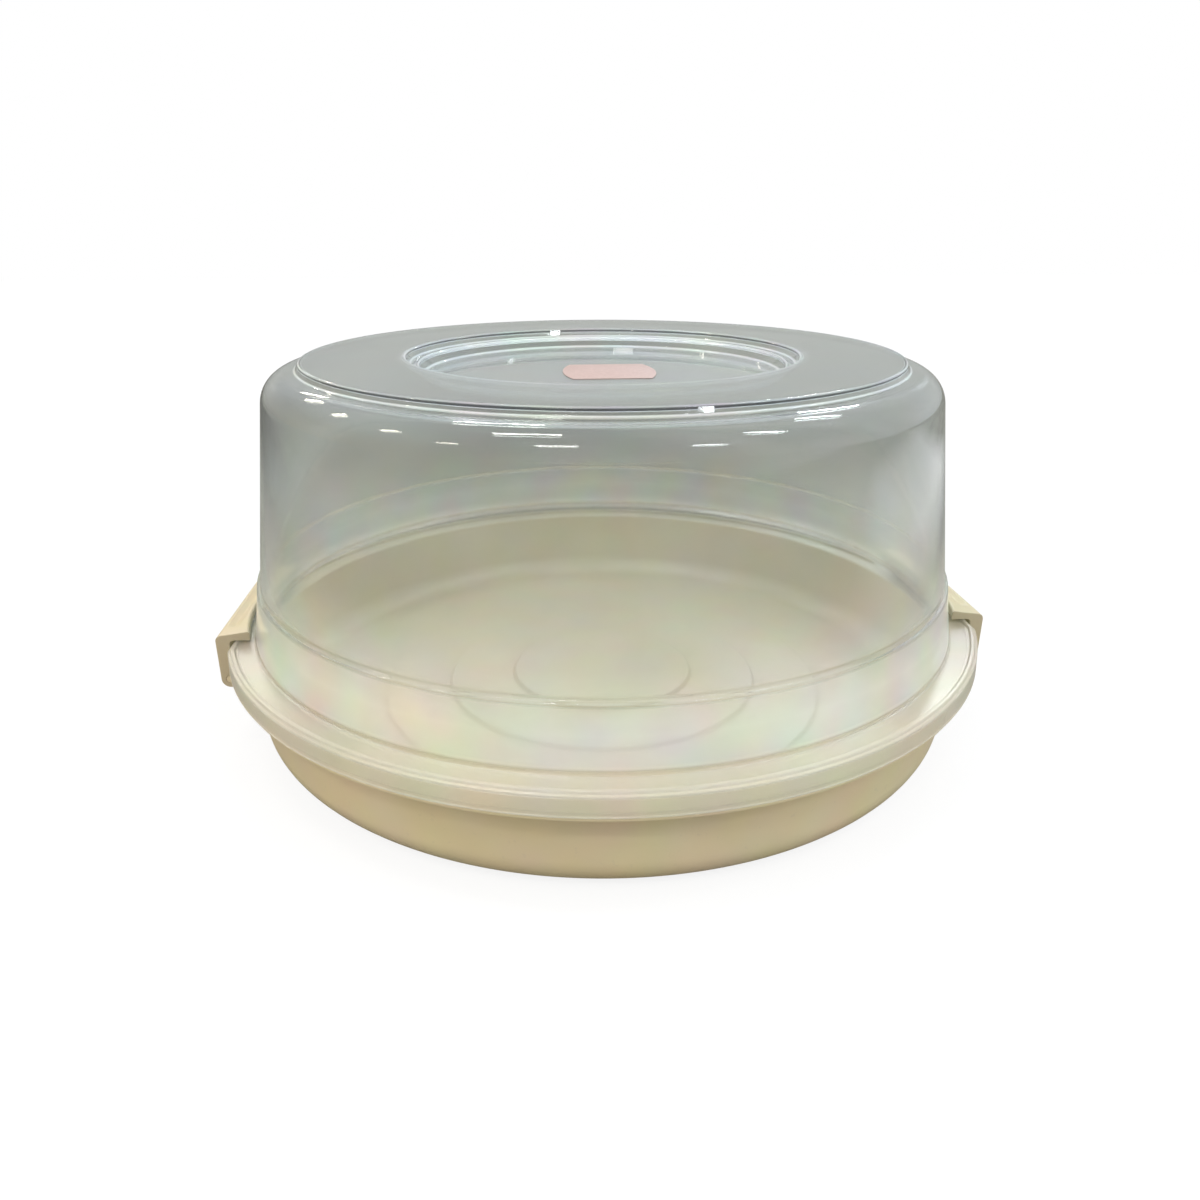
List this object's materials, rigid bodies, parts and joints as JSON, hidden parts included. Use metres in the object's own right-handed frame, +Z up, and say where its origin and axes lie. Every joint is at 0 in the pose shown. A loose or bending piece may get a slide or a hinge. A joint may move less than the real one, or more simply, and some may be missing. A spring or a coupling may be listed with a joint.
{
  "type": "cake carrier",
  "caption": "Round cake carrier: shallow tray, clear domed lid that lifts off, and two side latches hinged under the rim.",
  "frame": {"origin": "middle of the tray's underside, at the level of the surface it stands on", "axes": "+Z up; +X towards the right-hand latch; +Y towards the back"},
  "size_m": [0.3276, 0.33, 0.1582],
  "materials": {
    "cream_plastic": "moulded cream plastic with a soft gloss",
    "clear_plastic": "clear plastic with a slight grey haze",
    "label": "plain pink paper label"
  },
  "bodies": {
    "tray": {"base_tray": "cream_plastic"},
    "lid": {"lid_dome": "clear_plastic", "lid_label": "label"},
    "latch_left": {"latch_left": "cream_plastic"},
    "latch_right": {"latch_right": "cream_plastic"}
  },
  "joints": [
    {"name": "lid_lift", "type": "slide", "parent": "tray", "child": "lid", "axis": [0, 0, 1], "range_m": [0, 0.15]},
    {"name": "latch_left_hinge", "type": "hinge", "parent": "tray", "child": "latch_left", "pos_m": [-0.16012, 0, 0.0303], "axis": [0, -1, 0], "range_deg": [0, 170]},
    {"name": "latch_right_hinge", "type": "hinge", "parent": "tray", "child": "latch_right", "pos_m": [0.16012, 0, 0.0303], "axis": [0, 1, 0], "range_deg": [0, 170]}
  ]
}
